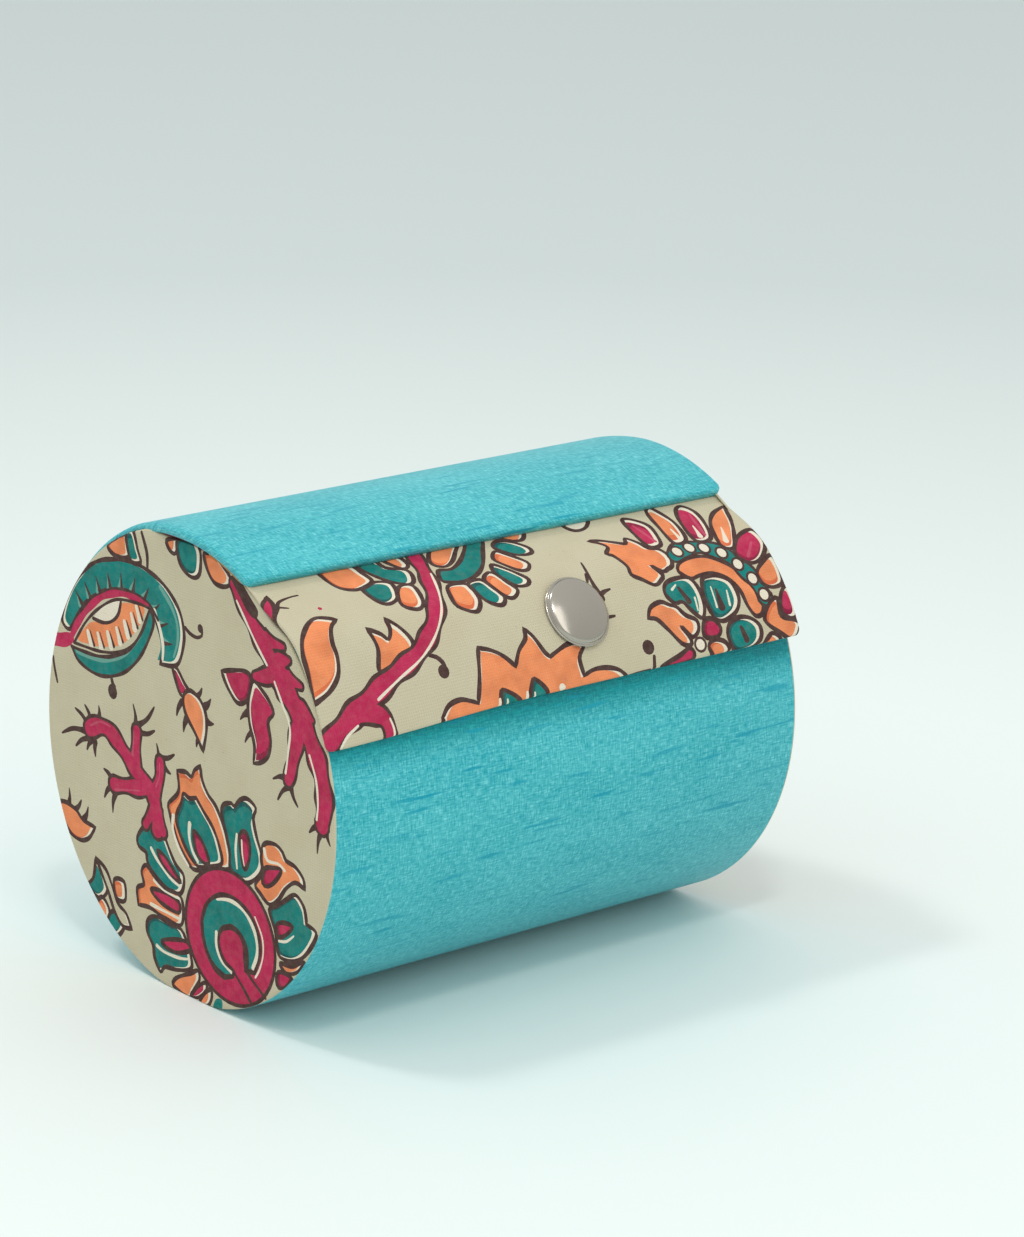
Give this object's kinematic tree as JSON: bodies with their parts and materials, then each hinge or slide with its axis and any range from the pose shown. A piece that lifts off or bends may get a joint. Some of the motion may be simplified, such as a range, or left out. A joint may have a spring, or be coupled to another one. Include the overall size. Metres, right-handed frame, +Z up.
{
  "type": "bangle box",
  "caption": "Drum-shaped bangle box on its side: silk-covered card, printed ends, curved hinged lid, front flap with a press stud, and a padded bangle rod inside.",
  "frame": {"origin": "middle of the flat base, under the drum's axis", "axes": "+X along the drum, -Y towards the front with the flap, +Z up"},
  "size_m": [0.1218, 0.0982, 0.0974],
  "materials": {
    "turquoise_silk": "satin",
    "floral_cotton": "matte",
    "grey_board": "matte",
    "velvet": "matte",
    "nickel": "polished",
    "foam": "matte",
    "turned_wood": "satin"
  },
  "bodies": {
    "body": {"end_board_left": "grey_board", "end_board_right": "grey_board", "end_print_left": "floral_cotton", "end_print_right": "floral_cotton", "end_lining_left": "velvet", "end_lining_right": "velvet", "rod_saddle_left": "grey_board", "rod_saddle_right": "grey_board", "body_shell_board": "grey_board", "body_silk": "turquoise_silk", "body_lining": "velvet", "hinge_cloth": "turquoise_silk", "snap_stud": "nickel", "snap_post": "nickel"},
    "lid": {"lid_board": "grey_board", "lid_silk": "turquoise_silk", "lid_lining": "velvet", "flap_tongue": "floral_cotton"},
    "flap": {"flap_board": "grey_board", "flap_print": "floral_cotton", "flap_lining": "velvet", "snap_cap": "nickel", "snap_socket": "nickel"},
    "rod": {"rod_tube": "grey_board", "rod_foam": "foam", "rod_velvet": "velvet", "rod_end_left": "turned_wood", "rod_end_right": "turned_wood"}
  },
  "joints": [
    {"name": "lid_hinge", "type": "hinge", "parent": "body", "child": "lid", "pos_m": [0, 0.04893, 0.04766], "axis": [-1, 0, 0], "range_deg": [0, 110], "deforming": ["hinge_cloth"]},
    {"name": "flap_fold", "type": "hinge", "parent": "lid", "child": "flap", "pos_m": [0, -0.02296, 0.08921], "axis": [-1, 0, 0], "range_deg": [0, 70]},
    {"name": "rod_lift", "type": "slide", "parent": "body", "child": "rod", "axis": [0, 0, 1], "range_m": [0, 0.014]}
  ]
}
